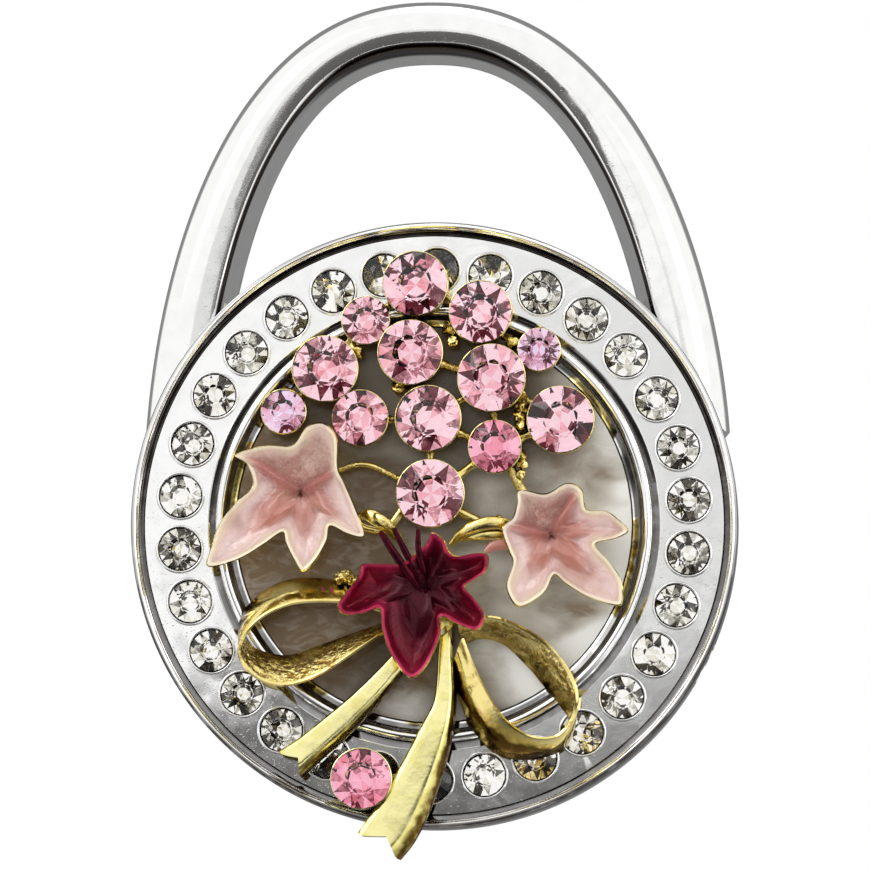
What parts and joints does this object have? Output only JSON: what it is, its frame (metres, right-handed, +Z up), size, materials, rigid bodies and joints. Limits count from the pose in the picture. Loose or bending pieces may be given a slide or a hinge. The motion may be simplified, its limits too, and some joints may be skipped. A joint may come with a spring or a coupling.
{
  "type": "purse hook",
  "caption": "Round folding bag hanger in padlock form: jewelled disc with a bouquet of cut stones and lilies, and an arched shackle that swings out to hang on a table's edge.",
  "frame": {"origin": "where a strap bears on the inside top of the shackle, midway through its thickness", "axes": "+Z up the hanger from the disc to the top of the shackle, -Y the way the decorated face looks, +X to the right as the face is seen"},
  "size_m": [0.045, 0.0123, 0.0649],
  "materials": {
    "chrome_plate": "polished plate on cast alloy",
    "steel_parts": "plain",
    "rubber_pad": "matt",
    "shell_inlay": "polished mother of pearl",
    "gold_plate": "polished gold plate",
    "pearl_enamel": "pearly pink enamel on a cast flower",
    "wine_enamel": "clear wine-red enamel on a cast flower",
    "clear_stone": "foil-backed cut glass",
    "pink_stone": "foil-backed cut glass"
  },
  "bodies": {
    "shackle_body": {"shackle": "chrome_plate", "keeper": "steel_parts"},
    "disc_assembly": {"disc_body": "chrome_plate", "back_plate": "steel_parts", "grip_pad": "rubber_pad", "shell_inlay": "shell_inlay", "hinge_pin": "steel_parts", "magnet": "steel_parts", "bouquet_frame": "gold_plate", "ribbon_bow": "gold_plate", "lily_left": "pearl_enamel", "lily_right": "pearl_enamel", "lily_center": "wine_enamel", "pink_stone_01": "pink_stone", "pink_stone_02": "pink_stone", "pink_stone_03": "pink_stone", "pink_stone_04": "pink_stone", "pink_stone_05": "pink_stone", "pink_stone_06": "pink_stone", "pink_stone_07": "pink_stone", "pink_stone_08": "pink_stone", "pink_stone_09": "pink_stone", "pink_stone_10": "pink_stone", "pink_stone_11": "pink_stone", "pink_stone_12": "pink_stone", "pink_stone_13": "pink_stone", "pink_stone_14": "pink_stone", "clear_stone_01": "clear_stone", "clear_stone_02": "clear_stone", "clear_stone_03": "clear_stone", "clear_stone_04": "clear_stone", "clear_stone_05": "clear_stone", "clear_stone_06": "clear_stone", "clear_stone_07": "clear_stone", "clear_stone_08": "clear_stone", "clear_stone_09": "clear_stone", "clear_stone_10": "clear_stone", "clear_stone_11": "clear_stone", "clear_stone_12": "clear_stone", "clear_stone_13": "clear_stone", "clear_stone_14": "clear_stone", "clear_stone_15": "clear_stone", "clear_stone_16": "clear_stone", "clear_stone_17": "clear_stone", "clear_stone_18": "clear_stone", "clear_stone_19": "clear_stone", "clear_stone_20": "clear_stone", "clear_stone_21": "clear_stone", "clear_stone_22": "clear_stone", "clear_stone_23": "clear_stone", "clear_stone_24": "clear_stone", "clear_stone_25": "clear_stone", "clear_stone_26": "clear_stone", "clear_stone_27": "clear_stone", "clear_stone_28": "clear_stone", "clear_stone_29": "clear_stone", "clear_stone_30": "clear_stone"}
  },
  "joints": [
    {"name": "shackle_hinge", "type": "hinge", "parent": "shackle_body", "child": "disc_assembly", "pos_m": [0.02, 0, -0.0345], "axis": [0, 0, 1], "range_deg": [0, 90]}
  ]
}
